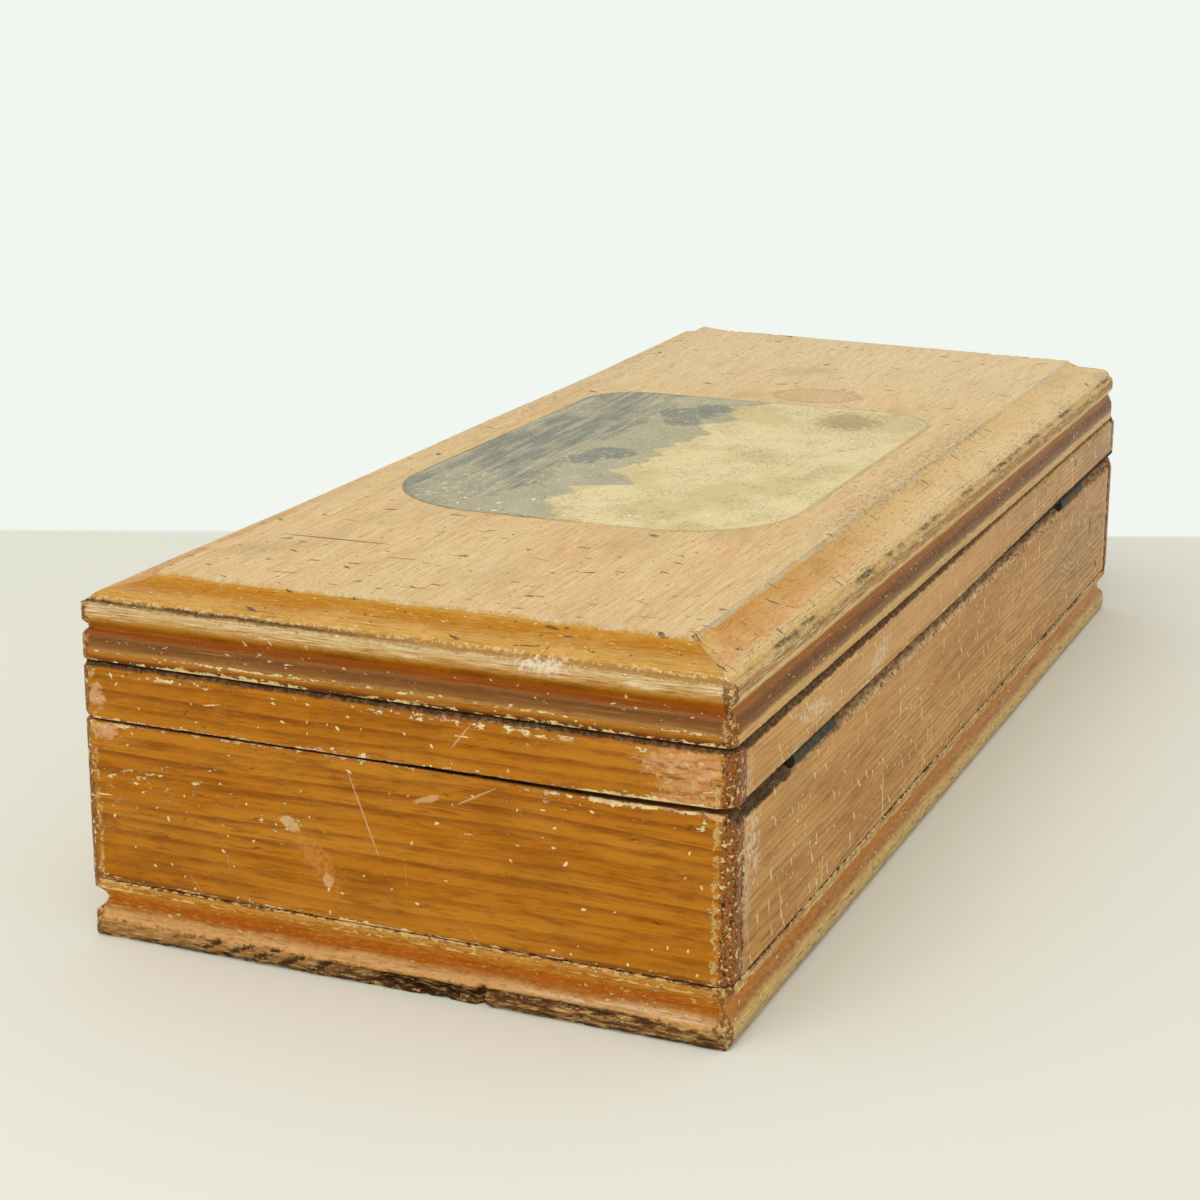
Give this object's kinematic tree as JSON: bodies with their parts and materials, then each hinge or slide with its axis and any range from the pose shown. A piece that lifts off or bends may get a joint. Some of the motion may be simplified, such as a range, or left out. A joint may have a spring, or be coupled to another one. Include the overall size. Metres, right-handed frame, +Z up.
{
  "type": "candle box",
  "caption": "Long low wooden storage box for candles, with a moulded base and a moulded lid that swings up on butt hinges at the back.",
  "frame": {"origin": "middle of the underside, on the surface that the box stands on", "axes": "+X along the length to the right end, +Y to the hinged back, +Z up"},
  "size_m": [0.261, 0.1102, 0.0602],
  "materials": {
    "wall_wood": "worn amber varnish over pine",
    "rail_wood": "worn amber varnish over pine",
    "base_wood": "worn amber varnish over a moulded edge",
    "lid_wood": "rubbed pale field inside an amber moulded edge",
    "picture_paper": "crackled varnish over a faded print",
    "hinge_metal": "dark and dulled with age",
    "screw_metal": "dark and dulled with age",
    "brad_metal": "rusty"
  },
  "bodies": {
    "box": {"base_board": "base_wood", "base_brads": "brad_metal", "box_front": "wall_wood", "box_back": "wall_wood", "box_left_end": "wall_wood", "box_right_end": "wall_wood", "left_hinge_box_leaf": "hinge_metal", "left_hinge_pin": "hinge_metal", "right_hinge_box_leaf": "hinge_metal", "right_hinge_pin": "hinge_metal", "box_hinge_screws": "screw_metal"},
    "lid": {"lid_board": "lid_wood", "lid_front_rail": "rail_wood", "lid_back_rail": "rail_wood", "lid_left_rail": "rail_wood", "lid_right_rail": "rail_wood", "lid_picture": "picture_paper", "left_hinge_lid_leaf": "hinge_metal", "right_hinge_lid_leaf": "hinge_metal", "lid_hinge_screws": "screw_metal"}
  },
  "joints": [
    {"name": "lid_hinge", "type": "hinge", "parent": "box", "child": "lid", "pos_m": [0, 0.054, 0.03665], "axis": [-1, 0, 0], "range_deg": [0, 105]}
  ]
}
